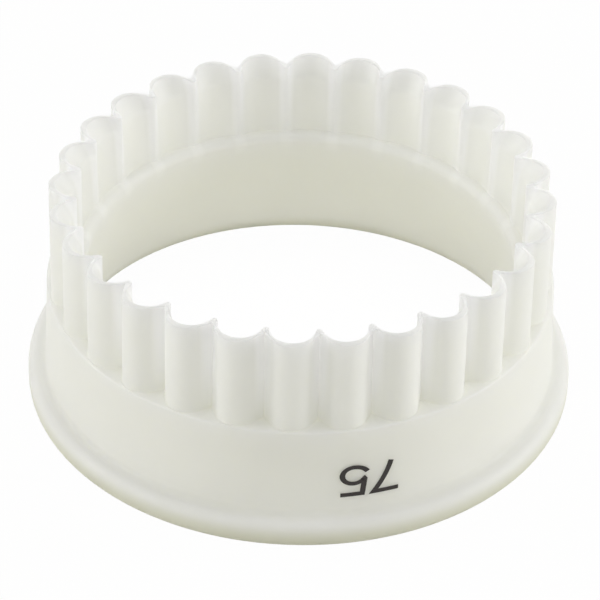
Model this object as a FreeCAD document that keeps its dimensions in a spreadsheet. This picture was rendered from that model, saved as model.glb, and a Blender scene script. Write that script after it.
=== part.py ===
# Round fluted biscuit cutter, standing on its rim with the cutting edge upwards.
# Millimetres, +Z up, origin on the axis in the plane that the rim stands on.
import FreeCAD, Part
import math
import os
import Sketcher

# Driving dimensions, in millimetres, degrees and counts
SIZES = {
    # Fluted skirt: a ring of convex flutes between sharp valleys, bevelled inside to a thin cutting edge
    "cutting_diameter": 75.0,
    "flute_count": 28,
    "flute_height": 15.0,
    "flute_depth": 3.15,
    "flank_angle": 58.0,
    "flute_draft": 0.1,
    "edge_wall": 1.0,
    "bevel_height": 2.65,
    "bevel_wall": 2.9,
    "root_wall": 3.9,
    "ridge_wall": 1.15,
    "ridge_round": 0.5,
    "ledge_rise": 3.15,
    "ledge_round": 1.3,
    # Collar: the plain conical band below the flutes
    "collar_step": 0.35,
    "collar_height": 11.95,
    "collar_draft": 0.42,
    "bore_draft": 2.5,
    # Rim: the thick edge that the hand presses on
    "rim_overhang": 2.65,
    "rim_thickness": 4.3,
    "rim_neck": 0.6,
    "rim_lower_round": 1.35,
    "rim_upper_round": 1.4,
    "rim_root_fillet": 1.1,
    "seat_width": 0.6,
    "flare_radius": 6.3,
    # How far a cut passes the material
    "overrun": 1.0,
}

doc = FreeCAD.newDocument("biscuit_cutter")
sheet = doc.addObject("Spreadsheet::Sheet", "sizes")
for row, (alias, value) in enumerate(SIZES.items(), start=1):
    sheet.set(f"A{row}", alias)
    sheet.set(f"B{row}", str(value))
    sheet.setAlias(f"B{row}", alias)
doc.recompute()

# Heights above the seat, worked out from the sizes
SEAT = "0"
RIM_TOP = "(sizes.flare_radius + sizes.rim_neck)"
COLLAR_TOP = f"({RIM_TOP} + sizes.collar_height)"
LEDGE = f"({COLLAR_TOP} + sizes.ledge_rise)"
EDGE = f"({COLLAR_TOP} + sizes.flute_height)"
BEVEL_FOOT = f"({EDGE} - sizes.bevel_height)"

# Radii of the flutes at the cutting edge and at their root
EDGE_CREST = "(sizes.cutting_diameter / 2)"
ROOT_CREST = f"({EDGE_CREST} + sizes.flute_draft)"
EDGE_VALLEY = f"({EDGE_CREST} - sizes.flute_depth)"
ROOT_VALLEY = f"({ROOT_CREST} - sizes.flute_depth)"
EDGE_SCALLOP = f"({EDGE_CREST} - sizes.edge_wall)"
BEVEL_SCALLOP = f"({EDGE_CREST} - sizes.bevel_wall)"
ROOT_SCALLOP = f"({ROOT_CREST} - sizes.root_wall)"
RIDGE = f"({EDGE_VALLEY} - sizes.ridge_wall)"
HALF_FLUTE = "(180 / sizes.flute_count)"

# The collar's outer face and the bore are cones that widen towards the rim.
FACE_TOP = f"({ROOT_CREST} + sizes.collar_step)"
FACE_FOOT = f"({FACE_TOP} + sizes.collar_draft)"
FACE_SLOPE = "(sizes.collar_draft / sizes.collar_height)"
FACE_AT_RIM = f"({FACE_FOOT} + ({RIM_TOP} - sizes.rim_thickness) * {FACE_SLOPE})"
BORE_TOP = f"({RIDGE} - sizes.ledge_round)"
BORE_FOOT = f"({BORE_TOP} + sizes.bore_draft)"
BORE_SLOPE = "(sizes.bore_draft / (sizes.collar_height + sizes.ledge_rise))"
BORE_AT_COLLAR_TOP = f"({BORE_TOP} + sizes.ledge_rise * {BORE_SLOPE})"
BORE_AT_LEDGE_ROUND = f"({BORE_TOP} + sizes.ledge_round * {BORE_SLOPE})"
BORE_BELOW_COLLAR_TOP = f"({BORE_AT_COLLAR_TOP} + sizes.overrun * {BORE_SLOPE})"
BLANK_BORE = f"({BORE_TOP} - sizes.overrun)"
CUT_BORE = f"({BLANK_BORE} - sizes.overrun)"
RIM_RADIUS = f"({FACE_AT_RIM} + sizes.rim_overhang)"
SEAT_INNER = f"({RIM_RADIUS} - sizes.rim_lower_round - sizes.seat_width)"

# Places in a sketch that constraints refer to
ORIGIN = (-1, 1)
X_AXIS = -1
START, END, CENTRE = range(1, 4)


def number(expression):
    """The present value of an expression in the driving dimensions."""
    return float(sheet.evalExpression(expression))


def point(x, y):
    return FreeCAD.Vector(x, y, 0)


def polar(radius, angle):
    return point(radius * math.cos(angle), radius * math.sin(angle))


def mirrored(place):
    """The place across the X axis."""
    return point(place.x, -place.y)


def new_body(label):
    body = doc.addObject("PartDesign::Body", label)
    body.Label = label
    return body


def origin_feature(body, role):
    return next(feature for feature in body.Origin.OriginFeatures if feature.Role == role)


def new_sketch(body, name, role, level=SEAT):
    """A sketch on one of the body's own planes, lifted to a level."""
    sketch = body.newObject("Sketcher::SketchObject", name)
    sketch.AttachmentSupport = [(origin_feature(body, role), "")]
    sketch.MapMode = "FlatFace"
    sketch.setExpression("AttachmentOffset.Base.z", level)
    return sketch


def constrain(sketch, *constraints):
    for constraint in constraints:
        sketch.addConstraint(Sketcher.Constraint(*constraint))


def dimension(sketch, kind, references, expression):
    """A dimension that follows an expression in the driving dimensions."""
    start = number(expression)
    if kind == "Angle":
        start = math.radians(start)
    index = sketch.addConstraint(Sketcher.Constraint(kind, *references, start))
    sketch.setExpression(f"Constraints[{index}]", expression)


def fix(sketch, element, end, x, y):
    """Fix a point of an element at a place given by two expressions."""
    dimension(sketch, "DistanceX", (*ORIGIN, element, end), x)
    if number(y) == 0:
        constrain(sketch, ("PointOnObject", element, end, X_AXIS))
    else:
        dimension(sketch, "DistanceY", (*ORIGIN, element, end), y)


def draw_lines(sketch, corners):
    """Straight lines through corners given as pairs of expressions, each corner fixed."""
    places = [point(number(x), number(y)) for x, y in corners]
    lines = [sketch.addGeometry(Part.LineSegment(*ends)) for ends in zip(places, places[1:])]
    for line, following in zip(lines, lines[1:]):
        constrain(sketch, ("Coincident", line, END, following, START))
    for line, (x, y) in zip(lines, corners):
        fix(sketch, line, START, x, y)
    return lines


def turn(body, kind, name, sketch):
    """Turn a section round the axis, to add material or to cut it."""
    feature = body.newObject(kind, name)
    feature.Profile = sketch
    feature.ReferenceAxis = (sketch, ["V_Axis"])
    feature.Angle = math.degrees(2 * math.pi)
    doc.recompute()


def round_edge(body, name, radius, height, round_size):
    """Round the circular edge that lies at a radius and a height."""
    def lies_there(edge):
        place = edge.valueAt(edge.FirstParameter)
        level = edge.BoundBox.ZLength < Part.Precision.confusion()
        return level and point(math.hypot(place.x, place.y), place.z).isEqual(
            point(number(radius), number(height)), Part.Precision.approximation())

    base = body.Tip
    names = [f"Edge{index}" for index, edge in enumerate(base.Shape.Edges, start=1) if lies_there(edge)]
    feature = body.newObject("PartDesign::Fillet", name)
    feature.Base = (base, names)
    feature.setExpression("Radius", round_size)
    doc.recompute()


def lobe_outline(body, name, level, crest, valley):
    """One flute's share of a solid lobed ring: a round crest with straight flanks into two valleys."""
    half = math.radians(number(HALF_FLUTE))
    flank = math.radians(number("sizes.flank_angle"))
    low, inner = polar(number(valley), half), polar(number(BLANK_BORE), half)
    apex = low.x + low.y * math.tan(flank)
    radius = (apex - number(crest)) * math.cos(flank) / (1 - math.cos(flank))
    high = point(number(crest) - radius, 0) + polar(radius, flank)

    sketch = new_sketch(body, name, "XY_Plane", level)
    top = sketch.addGeometry(Part.Arc(mirrored(high), point(number(crest), 0), high))
    right_flank = sketch.addGeometry(Part.LineSegment(high, low))
    right = sketch.addGeometry(Part.LineSegment(low, inner))
    bore = sketch.addGeometry(Part.Arc(mirrored(inner), point(inner.Length, 0), inner))
    left = sketch.addGeometry(Part.LineSegment(mirrored(inner), mirrored(low)))
    left_flank = sketch.addGeometry(Part.LineSegment(mirrored(low), mirrored(high)))
    mark = sketch.addGeometry(Part.Point(point(number(crest), 0)), True)
    constrain(
        sketch,
        ("Tangent", top, END, right_flank, START),
        ("Coincident", right_flank, END, right, START),
        ("Coincident", right, END, bore, END),
        ("Coincident", bore, START, left, START),
        ("Coincident", left, END, left_flank, START),
        ("Tangent", left_flank, END, top, START),
        ("Coincident", bore, CENTRE, *ORIGIN),
        ("PointOnObject", *ORIGIN, right),
        ("PointOnObject", *ORIGIN, left),
        ("PointOnObject", top, CENTRE, X_AXIS),
        ("Symmetric", top, START, top, END, X_AXIS),
        ("Equal", left_flank, right_flank),
        ("PointOnObject", mark, START, top),
    )
    fix(sketch, mark, START, crest, SEAT)
    fix(sketch, right, START, f"{valley} * cos({HALF_FLUTE})", f"{valley} * sin({HALF_FLUTE})")
    dimension(sketch, "Angle", (right_flank,), "90 + sizes.flank_angle")
    dimension(sketch, "Radius", (bore,), BLANK_BORE)
    return sketch


def scallop_outline(body, name, level, crest):
    """The hollow behind one flute: a round scallop between two rounded ridges."""
    half = math.radians(number(HALF_FLUTE))
    tip, inner = polar(number(RIDGE), half), polar(number(CUT_BORE), half)
    ridge = number("sizes.ridge_round")
    ridge_centre = polar(number(RIDGE) + ridge, half)
    outer, reach = number(crest) + ridge, ridge_centre.Length
    centre = point((outer**2 - reach**2) / (2 * (outer - reach * math.cos(half))), 0)
    towards = (centre - ridge_centre).normalize()
    meet = ridge_centre + towards * ridge
    middle = ridge_centre + (towards - polar(1, half)).normalize() * ridge

    sketch = new_sketch(body, name, "XY_Plane", level)
    scallop = sketch.addGeometry(Part.Arc(mirrored(meet), point(number(crest), 0), meet))
    right_ridge = sketch.addGeometry(Part.Arc(tip, middle, meet))
    right = sketch.addGeometry(Part.LineSegment(tip, inner))
    bore = sketch.addGeometry(Part.Arc(mirrored(inner), point(inner.Length, 0), inner))
    left = sketch.addGeometry(Part.LineSegment(mirrored(inner), mirrored(tip)))
    left_ridge = sketch.addGeometry(Part.Arc(mirrored(meet), mirrored(middle), mirrored(tip)))
    mark = sketch.addGeometry(Part.Point(point(number(crest), 0)), True)
    constrain(
        sketch,
        ("Tangent", scallop, END, right_ridge, END),
        ("Coincident", right_ridge, START, right, START),
        ("Coincident", right, END, bore, END),
        ("Coincident", bore, START, left, START),
        ("Coincident", left, END, left_ridge, END),
        ("Tangent", left_ridge, START, scallop, START),
        ("Coincident", bore, CENTRE, *ORIGIN),
        ("PointOnObject", *ORIGIN, right),
        ("PointOnObject", *ORIGIN, left),
        ("PointOnObject", right_ridge, CENTRE, right),
        ("PointOnObject", left_ridge, CENTRE, left),
        ("PointOnObject", scallop, CENTRE, X_AXIS),
        ("Symmetric", scallop, START, scallop, END, X_AXIS),
        ("Equal", left_ridge, right_ridge),
        ("PointOnObject", mark, START, scallop),
    )
    fix(sketch, mark, START, crest, SEAT)
    fix(sketch, right, START, f"{RIDGE} * cos({HALF_FLUTE})", f"{RIDGE} * sin({HALF_FLUTE})")
    dimension(sketch, "Radius", (right_ridge,), "sizes.ridge_round")
    dimension(sketch, "Radius", (bore,), CUT_BORE)
    return sketch


def loft(body, kind, name, lowest, *higher):
    """Straight-sided material, or a cut, through outlines one above the other."""
    feature = body.newObject(kind, name)
    feature.Profile = lowest
    feature.Sections = list(higher)
    feature.Ruled = True
    doc.recompute()
    return feature


def repeat_round(body, name, feature):
    """Repeat one flute's feature round the axis."""
    pattern = body.newObject("PartDesign::PolarPattern", name)
    pattern.Originals = [feature]
    pattern.Axis = (origin_feature(body, "Z_Axis"), [""])
    pattern.Angle = math.degrees(2 * math.pi)
    pattern.setExpression("Occurrences", "sizes.flute_count")
    body.Tip = pattern
    doc.recompute()


def make_rim():
    """The pressing edge: a rounded overhanging bead outside and a wide flare inside."""
    body = new_body("rim")
    sketch = new_sketch(body, "rim_section", "XZ_Plane")
    corners = [
        (SEAT_INNER, SEAT),
        (RIM_RADIUS, SEAT),
        (RIM_RADIUS, "sizes.rim_thickness"),
        (FACE_AT_RIM, "sizes.rim_thickness"),
        (FACE_FOOT, RIM_TOP),
        (BORE_FOOT, RIM_TOP),
        (BORE_FOOT, "sizes.flare_radius"),
    ]
    *outside, bore = draw_lines(sketch, corners)
    radius = number("sizes.flare_radius")
    centre = point(number(BORE_FOOT) + radius, radius)
    start, end = point(number(BORE_FOOT), radius), point(number(SEAT_INNER), 0)
    flare = sketch.addGeometry(Part.Arc(start, centre + polar(radius, math.radians(225)), end))
    ledge = sketch.addGeometry(Part.Point(point(number(BORE_TOP), number(LEDGE))), True)
    constrain(
        sketch,
        ("Coincident", flare, END, outside[0], START),
        ("Tangent", bore, END, flare, START),
        ("PointOnObject", ledge, START, bore),
    )
    fix(sketch, ledge, START, BORE_TOP, LEDGE)
    dimension(sketch, "Radius", (flare,), "sizes.flare_radius")
    turn(body, "PartDesign::Revolution", "rim_ring", sketch)
    round_edge(body, "lower_round", RIM_RADIUS, SEAT, "sizes.rim_lower_round")
    round_edge(body, "upper_round", RIM_RADIUS, "sizes.rim_thickness", "sizes.rim_upper_round")
    round_edge(body, "root_fillet", FACE_AT_RIM, "sizes.rim_thickness", "sizes.rim_root_fillet")
    return body


def make_collar():
    """The plain band: a conical face outside, a conical bore inside, a softened top edge."""
    body = new_body("collar")
    sketch = new_sketch(body, "collar_section", "XZ_Plane")
    foot = (BORE_FOOT, RIM_TOP)
    lines = draw_lines(sketch, [
        foot,
        (FACE_FOOT, RIM_TOP),
        (FACE_TOP, COLLAR_TOP),
        (BORE_AT_COLLAR_TOP, COLLAR_TOP),
        foot,
    ])
    constrain(sketch, ("Coincident", lines[-1], END, lines[0], START))
    turn(body, "PartDesign::Revolution", "collar_ring", sketch)
    round_edge(body, "top_round", FACE_TOP, COLLAR_TOP, "sizes.collar_step")
    return body


def make_fluted_skirt():
    """The cutting wall: lobes outside, shallow scallops bevelled to the edge inside, the bore below."""
    body = new_body("fluted_skirt")
    root = lobe_outline(body, "root_lobe", COLLAR_TOP, ROOT_CREST, ROOT_VALLEY)
    edge = lobe_outline(body, "edge_lobe", EDGE, EDGE_CREST, EDGE_VALLEY)
    repeat_round(body, "lobes", loft(body, "PartDesign::AdditiveLoft", "lobe", root, edge))
    foot = scallop_outline(body, "root_scallop", LEDGE, ROOT_SCALLOP)
    waist = scallop_outline(body, "bevel_scallop", BEVEL_FOOT, BEVEL_SCALLOP)
    head = scallop_outline(body, "edge_scallop", EDGE, EDGE_SCALLOP)
    repeat_round(body, "scallops", loft(body, "PartDesign::SubtractiveLoft", "scallop", foot, waist, head))

    sketch = new_sketch(body, "bore_section", "XZ_Plane")
    round_top = (RIDGE, LEDGE)
    round_foot = (BORE_AT_LEDGE_ROUND, f"{LEDGE} - sizes.ledge_round")
    top, *_, cone = draw_lines(sketch, [
        round_top,
        (CUT_BORE, LEDGE),
        (CUT_BORE, f"{COLLAR_TOP} - sizes.overrun"),
        (BORE_BELOW_COLLAR_TOP, f"{COLLAR_TOP} - sizes.overrun"),
        round_foot,
    ])
    fix(sketch, cone, END, *round_foot)
    start, end = (point(number(x), number(y)) for x, y in (round_top, round_foot))
    middle = point(start.x, end.y) + polar(number("sizes.ledge_round"), math.radians(135))
    soft = sketch.addGeometry(Part.Arc(start, middle, end))
    constrain(sketch, ("Coincident", soft, END, cone, END), ("Tangent", top, START, soft, START))
    turn(body, "PartDesign::Groove", "bore", sketch)
    return body


pieces = [make_rim(), make_collar(), make_fluted_skirt()]
doc.recompute()

for thing in doc.Objects:
    if {"Invalid", "Error"} & set(thing.State):
        raise RuntimeError(f"{thing.Label} failed: {thing.State}")
for piece in pieces:
    if piece.Shape.isNull() or not piece.Shape.isValid():
        raise RuntimeError(f"{piece.Label} has no valid shape")

os.makedirs("parts", exist_ok=True)
for piece in pieces:
    piece.Shape.exportStep(os.path.join("parts", f"{piece.Label}.step"))
    print(f"{piece.Label}: {len(piece.Shape.Solids)} solid, {piece.Shape.Volume:.1f} cubic mm")
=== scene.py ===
import math

import bpy
import numpy as np
from mathutils import Matrix, Vector


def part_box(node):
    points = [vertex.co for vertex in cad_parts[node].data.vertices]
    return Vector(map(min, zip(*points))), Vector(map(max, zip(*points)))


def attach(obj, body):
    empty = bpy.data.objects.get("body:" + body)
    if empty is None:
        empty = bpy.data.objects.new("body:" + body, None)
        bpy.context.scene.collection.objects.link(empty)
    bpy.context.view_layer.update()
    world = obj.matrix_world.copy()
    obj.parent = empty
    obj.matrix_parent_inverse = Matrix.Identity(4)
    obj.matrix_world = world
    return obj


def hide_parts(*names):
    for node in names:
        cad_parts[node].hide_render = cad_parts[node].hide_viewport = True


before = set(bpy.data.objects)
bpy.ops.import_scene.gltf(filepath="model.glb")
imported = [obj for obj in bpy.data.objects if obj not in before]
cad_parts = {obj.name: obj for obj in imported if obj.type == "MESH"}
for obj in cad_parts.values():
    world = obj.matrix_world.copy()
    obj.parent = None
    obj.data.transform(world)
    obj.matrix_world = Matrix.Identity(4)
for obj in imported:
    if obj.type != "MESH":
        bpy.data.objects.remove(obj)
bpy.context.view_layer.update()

# A white fluted biscuit cutter, standing on its rim on a pale floor with the cutting edge up.
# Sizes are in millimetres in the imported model's frame; meshes are put into metres at the end.
MM = 0.001
rim_box, collar_box, skirt_box = ([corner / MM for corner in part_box(node)]
                                  for node in ("rim", "collar", "fluted_skirt"))

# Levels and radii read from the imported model
RIM_TOP, COLLAR_TOP, EDGE_TOP = rim_box[1].z, collar_box[1].z, skirt_box[1].z
RIM_RADIUS, FACE_FOOT, ROOT_CREST = rim_box[1].x, collar_box[1].x, skirt_box[1].x

# Flutes: a round crest with straight flanks outside; inside, shallow scallops between rounded ridges,
# which a hollow bevel deepens to the cutting edge
FLUTES = 28
FLUTE_DEPTH = 3.15
FLUTE_DRAFT = 0.1
FLANK_ANGLE = math.radians(58)
EDGE_WALL = 1.0
BEVEL_HEIGHT = 2.65
BEVEL_WALL = 2.9
ROOT_WALL = 3.9
RIDGE_WALL = 1.15
RIDGE_ROUND = 0.5
BEVEL_SOFTNESS = 0.6

# Small roundings, each no more than its share of the land or ledge that it lies on
EDGE_ROUND, EDGE_ROUND_SHARE = 0.1, 1 / 3
FOOT_ROUND, FOOT_ROUND_SHARE = 0.35, 0.4

# Collar, inner ledge and bore
COLLAR_STEP = 0.35
COLLAR_DRAFT = 0.42
LEDGE_RISE = 3.15
LEDGE_ROUND = 1.3
BORE_DRAFT = 2.5

# Rim
RIM_THICKNESS = 4.3
RIM_LOWER_ROUND = 1.35
RIM_UPPER_ROUND = 1.4
RIM_ROOT_FILLET = 1.1
SEAT_WIDTH = 0.6
FLARE_RADIUS = 6.3

# Worked out from the sizes above
EDGE_CREST = ROOT_CREST - FLUTE_DRAFT
RIDGE = EDGE_CREST - FLUTE_DEPTH - RIDGE_WALL
LEDGE = COLLAR_TOP + LEDGE_RISE
BEVEL_FOOT = EDGE_TOP - BEVEL_HEIGHT
FACE_TOP = FACE_FOOT - COLLAR_DRAFT
FACE_SLOPE = COLLAR_DRAFT / (COLLAR_TOP - RIM_TOP)
BORE_TOP = RIDGE - LEDGE_ROUND
BORE_SLOPE = BORE_DRAFT / (LEDGE - RIM_TOP)
FACE_AT_RIM = FACE_FOOT + (RIM_TOP - RIM_THICKNESS) * FACE_SLOPE
SEAT_INNER = RIM_RADIUS - RIM_LOWER_ROUND - SEAT_WIDTH

# Mesh fineness, and the angle past which an edge is drawn sharp
HALF_FLUTE_STEPS = 16
COLUMN_CROWDING = 1.6
ROUND_STEPS = 6
FLARE_STEPS = 12
WALL_STEPS = 5
SMOOTH_ANGLE = math.radians(35)

# A hair's gap that keeps lines apart where the crests meet the collar's edge and the ridges meet the ledge
HAIR = 0.02

# Size mark: the cutting diameter in plain numerals, printed on the collar to read with the cutting edge down
MARK_HEIGHT = 5.5
MARK_STROKE = 0.7
MARK_SWELL, SWELL_POWER = 0.18, 4
MARK_BASE = 12.6
BAR_LEVEL = MARK_HEIGHT - MARK_STROKE / 2
MITRE_LIMIT = 1.5
INK_BED, INK_LIFT = -0.02, 0.015

# Points of the strokes, to the right and up from the lower left of each numeral
SEVEN_BAR_START, SEVEN_CORNER = (0, BAR_LEVEL), (3.75, BAR_LEVEL)
SEVEN_BEND, SEVEN_FOOT = (1.86, 2.6), (1.18, 0)
SEVEN_TURN, SEVEN_STEPS = math.radians(-65.89), 24
FIVE_BAR_START, FIVE_CORNER = (4.03, BAR_LEVEL), (0.8, BAR_LEVEL)
FIVE_STEM_FOOT = (0.45, 2.4)
BOWL_CENTRE, BOWL_REACH, TAIL_REACH, BOWL_RISE = (2.05, 1.78), 1.72, 2.1, 1.45
BOWL_START, BOWL_END = 153, -160
FIVE_TURN, FIVE_STEPS, BOWL_STEPS = math.radians(-72.83), 20, 60


def spread(low, high, steps):
    """Evenly spaced values from low to high, both ends included."""
    return np.linspace(low, high, steps + 1)


def arc(centre, radius, start, end, steps):
    """Points of a circular arc in the section plane: centre plus radius times (cosine, sine) of the angle."""
    angle = np.radians(spread(start, end, steps))
    return np.column_stack([centre[0] + radius * np.cos(angle), centre[1] + radius * np.sin(angle)])


def parabola(start, corner, end, t):
    """The point at share t of the parabola that leaves start towards corner and reaches end from there."""
    return start * (1 - t) ** 2 + corner * 2 * t * (1 - t) + end * t ** 2


# Share of a half flute's length at each column, closer together towards the valley and the ridge
column_share = spread(-1, 1, 2 * HALF_FLUTE_STEPS)[:-1]
half_share = (1 - np.abs(column_share)) ** COLUMN_CROWDING
half_turn = math.pi / FLUTES


def repeat_round(half_points):
    """Mirror a half flute about its crest and turn the flute round the axis, once for each flute."""
    x, y = half_points[:, 0], half_points[:, 1] * np.sign(column_share)
    turn = (2 * half_turn * np.arange(FLUTES))[:, None]
    turned = [x * np.cos(turn) - y * np.sin(turn), x * np.sin(turn) + y * np.cos(turn)]
    return np.stack(turned, -1).reshape(-1, 2)


def lobe_curve(crest):
    """Outer line of the flutes: from the valley a straight flank, then an arc tangent to it over the crest.

    The flank leaves the valley at the flank angle to the tangent; the arc's radius is the one that touches
    the flank and the crest: (apex - crest) * cos / (1 - cos), with the apex where the flanks would meet."""
    valley = (crest - FLUTE_DEPTH) * np.array([math.cos(half_turn), math.sin(half_turn)])
    apex = valley[0] + valley[1] * math.tan(FLANK_ANGLE)
    radius = (apex - crest) * math.cos(FLANK_ANGLE) / (1 - math.cos(FLANK_ANGLE))
    top = np.array([crest - radius + radius * math.cos(FLANK_ANGLE), radius * math.sin(FLANK_ANGLE)])
    flank = np.linalg.norm(top - valley)
    along = half_share * (flank + radius * FLANK_ANGLE)
    angle = FLANK_ANGLE - (along - flank) / radius
    on_flank = valley + (top - valley) * (along / flank)[:, None]
    on_arc = np.column_stack([crest - radius + radius * np.cos(angle), radius * np.sin(angle)])
    return repeat_round(np.where((along < flank)[:, None], on_flank, on_arc))


def scallop_curve(crest):
    """Inner line of the flutes: a small arc round the ridge, then a scallop arc that touches it.

    The scallop's centre lies on the flute's axis where its distance to the ridge's centre is the sum of the
    two radii: ((crest + round)^2 - reach^2) / (2 * (crest + round - reach * cos)), reach being the distance
    of the ridge's centre from the ring's axis."""
    reach, outer = RIDGE + RIDGE_ROUND, crest + RIDGE_ROUND
    centre = (outer ** 2 - reach ** 2) / (2 * (outer - reach * math.cos(half_turn)))
    radius = crest - centre
    ridge = reach * np.array([math.cos(half_turn), math.sin(half_turn)])
    meet = math.atan2(ridge[1], ridge[0] - centre)
    start, end = half_turn + math.pi, meet + math.pi
    bend = end - start
    along = half_share * (RIDGE_ROUND * bend + radius * meet)
    ridge_angle = start + along / RIDGE_ROUND
    scallop_angle = meet - (along - RIDGE_ROUND * bend) / radius
    on_ridge = ridge + RIDGE_ROUND * np.column_stack([np.cos(ridge_angle), np.sin(ridge_angle)])
    on_scallop = np.column_stack([centre + radius * np.cos(scallop_angle), radius * np.sin(scallop_angle)])
    return repeat_round(np.where((along < RIDGE_ROUND * bend)[:, None], on_ridge, on_scallop))


def azimuth(curve):
    """The angle round the axis of each point of a line."""
    return np.arctan2(curve[:, 1], curve[:, 0])


def level(curve, height):
    """A closed line round the ring at a height, which may differ from point to point."""
    return np.column_stack([curve, np.broadcast_to(height, len(curve))])


def circles(profile, turn):
    """A circle round the axis for each (radius, height) of a profile."""
    unit_circle = np.column_stack([np.cos(turn), np.sin(turn)])
    return [level(radius * unit_circle, height) for radius, height in profile]


def between(first, last):
    """Evenly spaced lines of the straight wall between two lines, without the two."""
    return [first + (last - first) * share for share in spread(0, 1, WALL_STEPS)[1:-1]]


def towards(start, end):
    """Unit vectors and distances from the points of one line to those of another."""
    gap = end - start
    distance = np.linalg.norm(gap, axis=1, keepdims=True)
    return gap / distance, distance


def soft_bend(first, corner, last, reach):
    """Lines round a soft corner between two walls: parabolas from the reach before it to the reach after."""
    start, end = (corner + towards(corner, far)[0] * reach for far in (first, last))
    return [parabola(start, corner, end, t) for t in spread(0, 1, ROUND_STEPS)]


def foot_fillet(wall, ledge, height):
    """Lines of the fillet from a ledge into the foot of a wall, where there is room for it: at each angle,
    (1 - sine) of its size out from the wall and (1 - cosine) above the ledge."""
    out, room = towards(wall, ledge)
    size = np.minimum(FOOT_ROUND, FOOT_ROUND_SHARE * room)
    return [level(wall + out * size * (1 - math.sin(angle)), height + size[:, 0] * (1 - math.cos(angle)))
            for angle in np.radians(spread(0, 90, ROUND_STEPS))]


def edge_rounding(wall, across, size):
    """Lines over the rounded corner from the top of a wall on to the land of the cutting edge: at each angle,
    (1 - cosine) of its size across the land and (1 - sine) below it."""
    return [level(wall + across * size * (1 - math.cos(angle)), EDGE_TOP - size[:, 0] * (1 - math.sin(angle)))
            for angle in np.radians(spread(0, 90, ROUND_STEPS // 2))]


def flare_profile():
    """The bore's lower end: an arc that touches the bore's tapered line and ends on the seat.

    The arc's centre lies one radius from the bore's line and one radius from the seat's inner edge: a
    quadratic in the distance down the line."""
    scale = math.hypot(1, BORE_SLOPE)
    down, inwards = np.array([BORE_SLOPE, -1]) / scale, np.array([1, BORE_SLOPE]) / scale
    foot, seat = np.array([BORE_TOP + BORE_DRAFT, RIM_TOP]), np.array([SEAT_INNER, 0])
    gap = foot + FLARE_RADIUS * inwards - seat
    reach = -gap @ down - math.sqrt((gap @ down) ** 2 - gap @ gap + FLARE_RADIUS ** 2)
    centre = foot + FLARE_RADIUS * inwards + reach * down
    start = math.degrees(math.atan2(BORE_SLOPE, 1)) + 180
    end = math.degrees(math.atan2(*(seat - centre)[::-1])) + 360
    return arc(centre, FLARE_RADIUS, start, end, FLARE_STEPS)


def outside_profile():
    """Section of the outside below the flutes: seat, rounded bead, fillet, collar face, soft top edge."""
    face_lean = math.degrees(math.atan(FACE_SLOPE))
    bead_foot = (RIM_RADIUS - RIM_LOWER_ROUND, RIM_LOWER_ROUND)
    bead_top = (RIM_RADIUS - RIM_UPPER_ROUND, RIM_THICKNESS - RIM_UPPER_ROUND)
    fillet = (FACE_AT_RIM + RIM_ROOT_FILLET, RIM_THICKNESS + RIM_ROOT_FILLET)
    collar_edge = (FACE_TOP - COLLAR_STEP, COLLAR_TOP - COLLAR_STEP)
    return np.concatenate([
        [[SEAT_INNER + SEAT_WIDTH / 2, 0]],
        arc(bead_foot, RIM_LOWER_ROUND, -90, 0, ROUND_STEPS),
        arc(bead_top, RIM_UPPER_ROUND, 0, 90, ROUND_STEPS),
        arc(fillet, RIM_ROOT_FILLET, 270, 180 + face_lean, ROUND_STEPS),
        np.column_stack([spread(FACE_FOOT, FACE_TOP + COLLAR_STEP * FACE_SLOPE, WALL_STEPS),
                         spread(RIM_TOP, COLLAR_TOP - COLLAR_STEP, WALL_STEPS)]),
        arc(collar_edge, COLLAR_STEP, 0, 90, ROUND_STEPS)[1:],
    ])


def inside_profile():
    """Section of the inside below the flutes: rounded ledge, tapered bore and flare."""
    return np.concatenate([
        arc((RIDGE - HAIR, LEDGE - LEDGE_ROUND), LEDGE_ROUND - HAIR, 90, 180, ROUND_STEPS),
        np.column_stack([spread(BORE_TOP + LEDGE_ROUND * BORE_SLOPE, BORE_TOP + BORE_DRAFT, WALL_STEPS),
                         spread(LEDGE - LEDGE_ROUND, RIM_TOP, WALL_STEPS)])[1:],
        flare_profile(),
    ])


def moulding_rings():
    """The moulding as closed lines round the axis, in order round its section: seat, bead, collar, outer
    ledge, flutes, cutting edge, scallops, inner ledge, bore and flare. Each has the same number of points."""
    lobe_root, lobe_edge = lobe_curve(ROOT_CREST - HAIR), lobe_curve(EDGE_CREST)
    scallop_root = scallop_curve(ROOT_CREST - ROOT_WALL)
    scallop_waist = scallop_curve(EDGE_CREST - BEVEL_WALL)
    scallop_edge = scallop_curve(EDGE_CREST - EDGE_WALL)
    outer_turn, inner_turn = azimuth(lobe_root), azimuth(scallop_root)

    # Outside up to the flutes, then the flutes up to the cutting edge
    rings = circles(outside_profile(), outer_turn)
    rings += foot_fillet(lobe_root, rings[-1][:, :2], COLLAR_TOP)
    rings += between(level(lobe_root, COLLAR_TOP), level(lobe_edge, EDGE_TOP))

    # Over the land of the cutting edge
    across, land = towards(lobe_edge, scallop_edge)
    rounding = np.minimum(EDGE_ROUND, EDGE_ROUND_SHARE * land)
    rings += edge_rounding(lobe_edge, across, rounding)
    rings += edge_rounding(scallop_edge, -across, rounding)[::-1]

    # Down the bevel and the scallops to the inner ledge, then down the bore
    head, waist = level(scallop_edge, EDGE_TOP), level(scallop_waist, BEVEL_FOOT)
    tail = level(scallop_root, LEDGE)
    rings += soft_bend(head, waist, tail, BEVEL_SOFTNESS)
    rings += between(waist, tail)
    lip = circles([(RIDGE - HAIR, LEDGE)], inner_turn)[0]
    rings += foot_fillet(scallop_root, lip[:, :2], LEDGE)[::-1]
    return np.array(rings + circles(inside_profile(), inner_turn))


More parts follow.
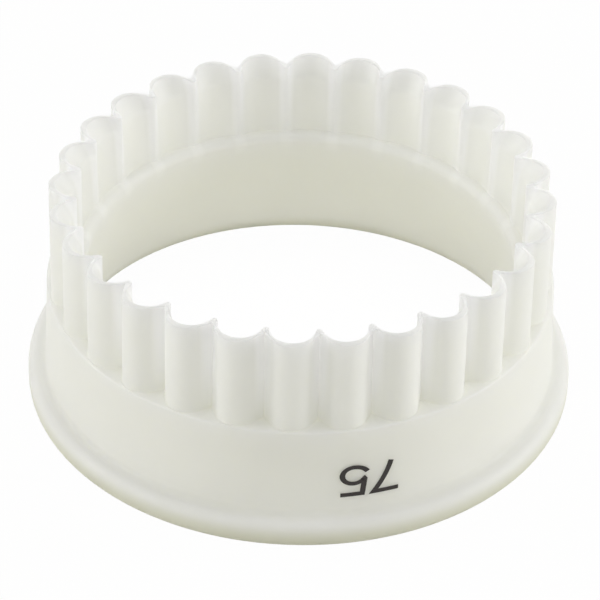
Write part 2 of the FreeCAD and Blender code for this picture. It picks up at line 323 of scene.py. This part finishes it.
def numeral_seven():
    """Points along the stroke of a 7: a bar to the right, then a stem down that bends a little, a parabola."""
    t = spread(0, 1, SEVEN_STEPS)[:, None]
    start, corner, bend, foot = map(np.array, (SEVEN_BAR_START, SEVEN_CORNER, SEVEN_BEND, SEVEN_FOOT))
    bar = start * (1 - t) + corner * t
    return np.concatenate([bar[:-1], parabola(corner, bend, foot, t)])


def numeral_five():
    """Points along the stroke of a 5: a bar back to the left, a leaning stem down, then an elliptical bowl,
    whose tail runs wider than the rest."""
    t = spread(0, 1, FIVE_STEPS)[:, None]
    start, corner, foot = map(np.array, (FIVE_BAR_START, FIVE_CORNER, FIVE_STEM_FOOT))
    bar = start * (1 - t) + corner * t
    stem = corner * (1 - t) + foot * t
    angle = np.radians(spread(BOWL_START, BOWL_END, BOWL_STEPS))
    reach = np.where(angle < -math.pi / 2, TAIL_REACH, BOWL_REACH)
    bowl = np.array(BOWL_CENTRE) + np.column_stack([reach * np.cos(angle), BOWL_RISE * np.sin(angle)])
    return np.concatenate([bar[:-1], stem[:-1], bowl])


def printed_stroke(path, start_turn):
    """A thin ribbon of ink along a stroke, laid on the collar's cone: rows are the corners of its section.

    Each point moves half the stroke's width along the mitre of its two neighbouring segments, and a little
    more where the stroke is upright. Right along the numeral is backwards round the ring, up is down the
    collar, and the ribbon's lower part is sunk in the collar."""
    along = np.diff(path, axis=0)
    side = np.column_stack([-along[:, 1], along[:, 0]]) / np.linalg.norm(along, axis=1)[:, None]
    before, after = np.concatenate([side[:1], side]), np.concatenate([side, side[-1:]])
    mitre = (before + after) / (1 + np.sum(before * after, axis=1, keepdims=True))
    mitre *= np.minimum(1, MITRE_LIMIT / np.linalg.norm(mitre, axis=1, keepdims=True))
    mitre *= 1 + MARK_SWELL * np.abs(mitre[:, :1]) ** SWELL_POWER
    rows = []
    for sign, lift in ((1, INK_BED), (-1, INK_BED), (-1, INK_LIFT), (1, INK_LIFT)):
        right, up = (path + sign * MARK_STROKE / 2 * mitre).T
        height = MARK_BASE - up
        radius = FACE_FOOT - (height - RIM_TOP) * FACE_SLOPE + lift
        turn = start_turn - right / FACE_FOOT
        rows.append(np.column_stack([radius * np.cos(turn), radius * np.sin(turn), height]))
    return np.array(rows)


def grid_faces(rows, columns, closed):
    """Quads of a grid of points. Its rows close on themselves; its columns too, or both ends get a cap."""
    last_column = columns if closed else columns - 1
    row, column = np.meshgrid(np.arange(rows), np.arange(last_column), indexing="ij")
    next_row, next_column = (row + 1) % rows, (column + 1) % columns
    corners = [row * columns + column, row * columns + next_column,
               next_row * columns + next_column, next_row * columns + column]
    faces = np.stack(corners, -1).reshape(-1, 4)
    if closed:
        return faces
    ends = np.arange(rows) * columns
    return np.concatenate([faces, [ends, ends[::-1] + columns - 1]])


def new_piece(name, grid, closed, material):
    """A mesh object at the origin from a grid of points in millimetres, smooth but for its sharp edges."""
    mesh = bpy.data.meshes.new(name)
    points, faces = grid.reshape(-1, 3) * MM, grid_faces(*grid.shape[:2], closed)
    mesh.from_pydata(points.tolist(), [], faces.tolist())
    mesh.materials.append(material)
    mesh.shade_smooth()
    mesh.set_sharp_from_angle(angle=SMOOTH_ANGLE)
    mesh.update()
    piece = bpy.data.objects.new(name, mesh)
    bpy.context.scene.collection.objects.link(piece)
    return piece


def linear(hex_colour):
    """An sRGB hex colour as linear RGBA, by the standard's own curve."""
    value = np.array([int(hex_colour[place:place + 2], 16) for place in (1, 3, 5)]) / 255
    return (*np.where(value <= 0.04045, value / 12.92, ((value + 0.055) / 1.055) ** 2.4), 1.0)


def add_node(tree, kind, inputs=None, links=None, **settings):
    """Add a node with its settings, its input values and the sockets that feed it."""
    node = tree.nodes.new(kind)
    for name, value in settings.items():
        setattr(node, name, value)
    for name, value in (inputs or {}).items():
        node.inputs[name].default_value = value
    for name, source in (links or {}).items():
        tree.links.new(source, node.inputs[name])
    return node


def new_material(name):
    """An empty material and its node tree."""
    material = bpy.data.materials.new(name)
    material.use_nodes = True
    material.node_tree.nodes.clear()
    return material, material.node_tree


# Plastic: sizes in millimetres of its clouding, of the mould's grain and of the depth that light sinks to
CLOUD_SIZE = 12
GRAIN_SIZE, GRAIN_DEPTH = 0.35, 0.02
SCATTER_DEPTH = 5
# Painted shade near the floor: height above the seat, in millimetres, over which the plastic is painted from a
# darker cream to white
PAINTED_SHADE_HEIGHT = 4.5
# Painted light through the thin webs between the flutes: they are painted whiter where the cosine of the
# flutes' phase falls from this value to -1
PAINTED_WEB_LIGHT_START = -0.45
# The clouding takes up this share of the ramp from grey to white, and the painted light of the webs the rest
CLOUD_SHARE = 0.2
# The mix node's colour sockets share their names with its other kinds, so they are found by number
MIX_COLOUR_A, MIX_COLOUR_B, MIX_COLOUR_RESULT = 6, 7, 2


def moulded_milky_nylon():
    """White nylon, injection moulded: light sinks a few millimetres into it. The thin webs between the flutes
    are painted whiter towards the cutting edge, a painted glow of light shining through them, and the plastic
    is painted darker and creamier towards the seat, painted shade near the floor; the skin has a satin gloss
    and the faint grain of the mould."""
    material, tree = new_material("moulded_milky_nylon")
    place = add_node(tree, "ShaderNodeTexCoord")
    cloud = add_node(tree, "ShaderNodeTexNoise", {"Scale": 1 / (CLOUD_SIZE * MM), "Detail": 3.0},
                     {"Vector": place.outputs["Object"]})
    grain = add_node(tree, "ShaderNodeTexNoise", {"Scale": 1 / (GRAIN_SIZE * MM), "Detail": 2.0},
                     {"Vector": place.outputs["Object"]})
    xyz = add_node(tree, "ShaderNodeSeparateXYZ", links={0: place.outputs["Object"]})
    turn = add_node(tree, "ShaderNodeMath", links={0: xyz.outputs["Y"], 1: xyz.outputs["X"]},
                    operation="ARCTAN2")
    phase = add_node(tree, "ShaderNodeMath", {1: FLUTES}, {0: turn.outputs[0]}, operation="MULTIPLY")
    wave = add_node(tree, "ShaderNodeMath", links={0: phase.outputs[0]}, operation="COSINE")
    climb = add_node(tree, "ShaderNodeMapRange", {"From Min": COLLAR_TOP * MM, "From Max": EDGE_TOP * MM},
                     {"Value": xyz.outputs["Z"]})
    # Painted light: the thin webs between the flutes are painted whiter, the more so towards the cutting edge,
    # for light shining through them; the ramp's white end is this painted light
    painted_web_light = add_node(tree, "ShaderNodeMapRange", {"From Min": PAINTED_WEB_LIGHT_START, "From Max": -1.0},
                   {"Value": wave.outputs[0], "To Max": climb.outputs["Result"]},
                   interpolation_type="SMOOTHSTEP")
    cloud_and_web_light = add_node(tree, "ShaderNodeMath", {1: CLOUD_SHARE},
                    {0: cloud.outputs["Fac"], 2: painted_web_light.outputs["Result"]}, operation="MULTIPLY_ADD")
    tint = add_node(tree, "ShaderNodeValToRGB", links={"Fac": cloud_and_web_light.outputs[0]})
    tint.color_ramp.elements.new(CLOUD_SHARE)
    for stop, colour in zip(tint.color_ramp.elements, ("#EDEDE8", "#F2F2ED", "#FFFFFE")):
        stop.color = linear(colour)
    # Painted shade near the floor: the colour is painted darker and creamier towards the seat
    foot = add_node(tree, "ShaderNodeMapRange", {"From Max": PAINTED_SHADE_HEIGHT * MM}, {"Value": xyz.outputs["Z"]},
                    interpolation_type="SMOOTHSTEP")
    colour_with_painted_light_and_shade = add_node(tree, "ShaderNodeMix", {MIX_COLOUR_A: linear("#D8D8C4")},
                     {0: foot.outputs["Result"], MIX_COLOUR_B: tint.outputs["Color"]}, data_type="RGBA")
    gloss = add_node(tree, "ShaderNodeMapRange", {"To Min": 0.44, "To Max": 0.54},
                     {"Value": cloud.outputs["Fac"]})
    bump = add_node(tree, "ShaderNodeBump", {"Strength": 0.12, "Distance": GRAIN_DEPTH * MM},
                    {"Height": grain.outputs["Fac"]})
    shader = add_node(tree, "ShaderNodeBsdfPrincipled",
                      {"IOR": 1.53, "Specular IOR Level": 0.3, "Subsurface Weight": 1.0,
                       "Subsurface Scale": SCATTER_DEPTH * MM, "Subsurface Radius": (1.0, 1.0, 0.95)},
                      {"Base Color": colour_with_painted_light_and_shade.outputs[MIX_COLOUR_RESULT], "Roughness": gloss.outputs["Result"],
                       "Normal": bump.outputs["Normal"]}, subsurface_method="RANDOM_WALK")
    add_node(tree, "ShaderNodeOutputMaterial", links={"Surface": shader.outputs["BSDF"]})
    return material


# Size in millimetres of the ink's uneven patches
FILM_SIZE = 0.8


def pad_printed_ink():
    """Dark brown-black ink, pad printed: matt, a little uneven where the film is thin."""
    material, tree = new_material("pad_printed_ink")
    place = add_node(tree, "ShaderNodeTexCoord")
    film = add_node(tree, "ShaderNodeTexNoise", {"Scale": 1 / (FILM_SIZE * MM), "Detail": 2.0},
                    {"Vector": place.outputs["Object"]})
    tint = add_node(tree, "ShaderNodeValToRGB", links={"Fac": film.outputs["Fac"]})
    for stop, colour in zip(tint.color_ramp.elements, ("#1F1917", "#2B2522")):
        stop.color = linear(colour)
    shader = add_node(tree, "ShaderNodeBsdfPrincipled", {"Roughness": 0.55, "IOR": 1.48},
                      {"Base Color": tint.outputs["Color"]})
    add_node(tree, "ShaderNodeOutputMaterial", links={"Surface": shader.outputs["BSDF"]})
    return material


moulding = new_piece("cutter_moulding", moulding_rings(), True, moulded_milky_nylon())
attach(moulding, "root")
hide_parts("rim", "collar", "fluted_skirt")

ink = pad_printed_ink()
marks = {"size_mark_7": (numeral_seven(), SEVEN_TURN), "size_mark_5": (numeral_five(), FIVE_TURN)}
for name, (path, start_turn) in marks.items():
    numeral = new_piece(name, printed_stroke(path, start_turn), False, ink)
    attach(numeral, "root")

# Camera, from the photograph's view: long lens, looking down on the ring. Its distance is from a point on the
# axis at the camera's level, in millimetres like that level and the sensor's width.
CAMERA_AZIMUTH = math.radians(-88.39)
CAMERA_ELEVATION = math.radians(38.15)
CAMERA_DISTANCE = 560.4
CAMERA_TILT = math.radians(-1.13)
CAMERA_ROLL = math.radians(1.21)
CAMERA_LEVEL = 0.06
SENSOR_WIDTH = 36
FOCAL_PIXELS = 3663.2
IMAGE_PIXELS = 600


def photograph_camera():
    """A camera on a sphere round a point of the axis, looking at it but for a small tilt, then rolled."""
    data = bpy.data.cameras.new("photograph")
    data.sensor_width = SENSOR_WIDTH
    data.lens = FOCAL_PIXELS / IMAGE_PIXELS * SENSOR_WIDTH
    outwards, upwards = Vector((math.cos(CAMERA_AZIMUTH), math.sin(CAMERA_AZIMUTH), 0)), Vector((0, 0, 1))
    ray = outwards * math.cos(CAMERA_ELEVATION) + upwards * math.sin(CAMERA_ELEVATION)
    place = ray * CAMERA_DISTANCE + upwards * CAMERA_LEVEL
    pitch = CAMERA_ELEVATION + CAMERA_TILT
    forward = -outwards * math.cos(pitch) - upwards * math.sin(pitch)
    right = forward.cross(upwards).normalized()
    up = right.cross(forward)
    cosine, sine = math.cos(CAMERA_ROLL), math.sin(CAMERA_ROLL)
    rolled_right, rolled_up = right * cosine + up * sine, up * cosine - right * sine
    turn = Matrix((rolled_right, rolled_up, -forward)).transposed()
    camera = bpy.data.objects.new("photograph", data)
    camera.matrix_world = Matrix.Translation(place * MM) @ turn.to_4x4()
    bpy.context.scene.collection.objects.link(camera)
    bpy.context.scene.camera = camera


photograph_camera()

# Stage: lengths in metres, powers in watts, the floor's glow and the fill as strengths of white
FLOOR_HALF, FLOOR_COLOUR = 2.0, "#F5F4E8"
FLOOR_GLOW, FLOOR_WHITE_SHARE = 0.04, 0.98
FILL_AT_HORIZON, FILL_ABOVE = 0.6, 0.29
# Place, side and power of each soft box
SOFT_BOXES = {
    "left_box": ((-0.69, -0.1, 0.22), 0.4, 1.7),
    "right_box": ((0.7, 0.0, 0.22), 0.4, 2.1),
    "back_box": ((0.0, 0.75, 0.2), 0.7, 1.8),
    "front_box": ((0.0, -0.6, 0.65), 0.4, 0.8),
}
SPOT_HEIGHT, SPOT_REACH, SPOT_POWER = 0.9, 0.03, 17.2
SPOT_BLEND, SPOT_RADIUS = 0.3, 0.01
WHITE = linear("#FFFFFF")


def seen_directly(tree):
    """1 where the camera sees the stage, straight, mirrored or through glass, and 0 where the stage lights
    the ring."""
    path = add_node(tree, "ShaderNodeLightPath")
    seen = path.outputs["Is Camera Ray"]
    for ray in ("Is Glossy Ray", "Is Transmission Ray"):
        either = add_node(tree, "ShaderNodeMath", links={0: seen, 1: path.outputs[ray]}, operation="MAXIMUM")
        seen = either.outputs[0]
    return seen


def new_floor():
    """A wide pale floor that glows a little, as a light table does; the camera sees it as white but for a
    faint shadow."""
    mesh = bpy.data.meshes.new("floor")
    corners = [(x * FLOOR_HALF, y * FLOOR_HALF, 0) for x, y in ((-1, -1), (1, -1), (1, 1), (-1, 1))]
    mesh.from_pydata(corners, [], [(0, 1, 2, 3)])
    material, tree = new_material("pale_studio_floor")
    share = add_node(tree, "ShaderNodeMapRange", {"To Min": FLOOR_GLOW, "To Max": FLOOR_WHITE_SHARE},
                     {"Value": seen_directly(tree)})
    matt = add_node(tree, "ShaderNodeBsdfDiffuse", {"Color": linear(FLOOR_COLOUR)})
    white = add_node(tree, "ShaderNodeEmission", {"Color": WHITE, "Strength": 1.0})
    mix = add_node(tree, "ShaderNodeMixShader",
                   links={0: share.outputs[0], 1: matt.outputs[0], 2: white.outputs[0]})
    add_node(tree, "ShaderNodeOutputMaterial", links={"Surface": mix.outputs[0]})
    mesh.materials.append(material)
    floor = bpy.data.objects.new("floor", mesh)
    bpy.context.scene.collection.objects.link(floor)


def new_world():
    """A soft fill that weakens from the horizon to straight above; the camera sees the backdrop as white."""
    world = bpy.data.worlds.new("studio")
    bpy.context.scene.world = world
    world.use_nodes = True
    tree = world.node_tree
    tree.nodes.clear()
    place = add_node(tree, "ShaderNodeTexCoord")
    height = add_node(tree, "ShaderNodeSeparateXYZ", links={0: place.outputs["Generated"]})
    fill = add_node(tree, "ShaderNodeMapRange", {"To Min": FILL_AT_HORIZON, "To Max": FILL_ABOVE},
                    {"Value": height.outputs["Z"]})
    strength = add_node(tree, "ShaderNodeMapRange", {"To Max": 1.0},
                        {"Value": seen_directly(tree), "To Min": fill.outputs["Result"]})
    backdrop = add_node(tree, "ShaderNodeBackground", {"Color": WHITE},
                        {"Strength": strength.outputs["Result"]})
    add_node(tree, "ShaderNodeOutputWorld", links={"Surface": backdrop.outputs[0]})


def new_lamp(name, kind, place, power):
    """A lamp of a kind at a place, and its settings."""
    data = bpy.data.lights.new(name, kind)
    data.energy = power
    lamp = bpy.data.objects.new(name, data)
    lamp.location = place
    bpy.context.scene.collection.objects.link(lamp)
    return lamp, data


def soft_box(name, place, side, power):
    """A square soft box, turned to face the ring."""
    lamp, data = new_lamp(name, "AREA", place, power)
    data.shape = "SQUARE"
    data.size = side
    lamp.rotation_euler = (-Vector(place)).to_track_quat("-Z", "Y").to_euler()


def hollow_spot():
    """A narrow spot straight above, whose round pool of light fits inside the ring and bounces into the
    bore."""
    _, data = new_lamp("hollow_spot", "SPOT", (0, 0, SPOT_HEIGHT), SPOT_POWER)
    data.spot_size = 2 * math.atan(SPOT_REACH / SPOT_HEIGHT)
    data.spot_blend = SPOT_BLEND
    data.shadow_soft_size = SPOT_RADIUS


new_floor()
new_world()
for name, (place, side, power) in SOFT_BOXES.items():
    soft_box(name, place, side, power)
hollow_spot()

bpy.context.scene.view_settings.view_transform = "Standard"
